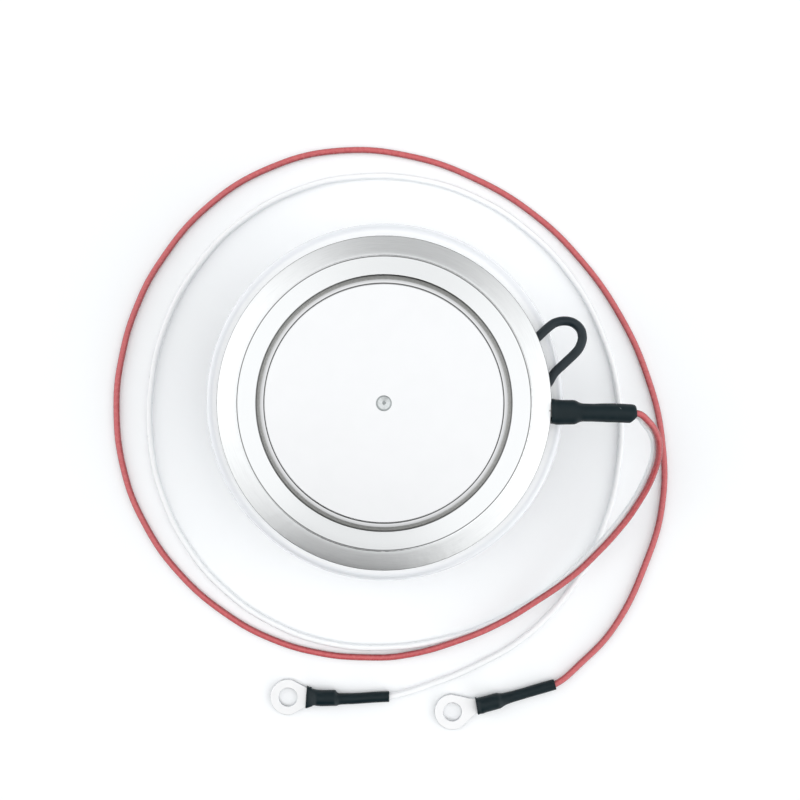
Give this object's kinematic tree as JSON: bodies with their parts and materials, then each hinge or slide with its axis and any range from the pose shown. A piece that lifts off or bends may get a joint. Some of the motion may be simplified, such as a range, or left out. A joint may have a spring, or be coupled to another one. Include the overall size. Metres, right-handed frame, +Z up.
{
  "type": "reverse conducting thyristor",
  "caption": "Press-pack power semiconductor: ribbed white ceramic capsule between two metal contact faces, with a sleeved gate loop and red and white leads to ring terminals.",
  "frame": {"origin": "centre of the lower (anode) contact face, on the surface it stands on", "axes": "+Z up along the capsule's axis to the cathode contact face, +X to the side where the leads leave, +Y away from the ring terminals"},
  "size_m": [0.1349, 0.1423, 0.026],
  "materials": {
    "pole_plating": "satin nickel plate",
    "lid_sheet": "circular brushed nickel plate",
    "ring_sheet": "satin nickel plate",
    "glazed_ceramic": "glossy glaze",
    "molybdenum": "lapped",
    "silicon": "metallised",
    "edge_rubber": "soft",
    "insulating_plastic": "machined",
    "spring_steel": "drawn",
    "gate_metal": "silver plate",
    "tab_metal": "spot welded strip",
    "solder": "bright solder",
    "tinned_copper": "bright tin plate",
    "black_sleeving": "satin silicone",
    "black_shrink": "shrunk polyolefin",
    "red_insulation": "extruded insulation",
    "white_insulation": "extruded insulation"
  },
  "bodies": {
    "root": {"cathode_pole": "pole_plating", "cathode_lid": "lid_sheet", "weld_ring": "ring_sheet", "ceramic_ring": "glazed_ceramic", "anode_ring": "ring_sheet", "anode_pole": "pole_plating", "cathode_disc": "molybdenum", "silicon_wafer": "silicon", "wafer_bead": "edge_rubber", "anode_disc": "molybdenum", "locating_ring": "insulating_plastic", "gate_bush": "insulating_plastic", "gate_spring": "spring_steel", "gate_pin": "gate_metal", "gate_wire": "gate_metal", "gate_wire_sleeve": "insulating_plastic", "gate_tube": "gate_metal", "cathode_tab": "tab_metal", "cathode_solder": "solder", "gate_splice": "tinned_copper", "jumper_wire": "tinned_copper", "jumper_sleeve": "black_sleeving", "junction_sleeve": "black_shrink", "red_lead": "red_insulation", "white_lead": "white_insulation", "red_terminal": "tinned_copper", "white_terminal": "tinned_copper", "red_terminal_sleeve": "black_shrink", "white_terminal_sleeve": "black_shrink"}
  },
  "joints": []
}
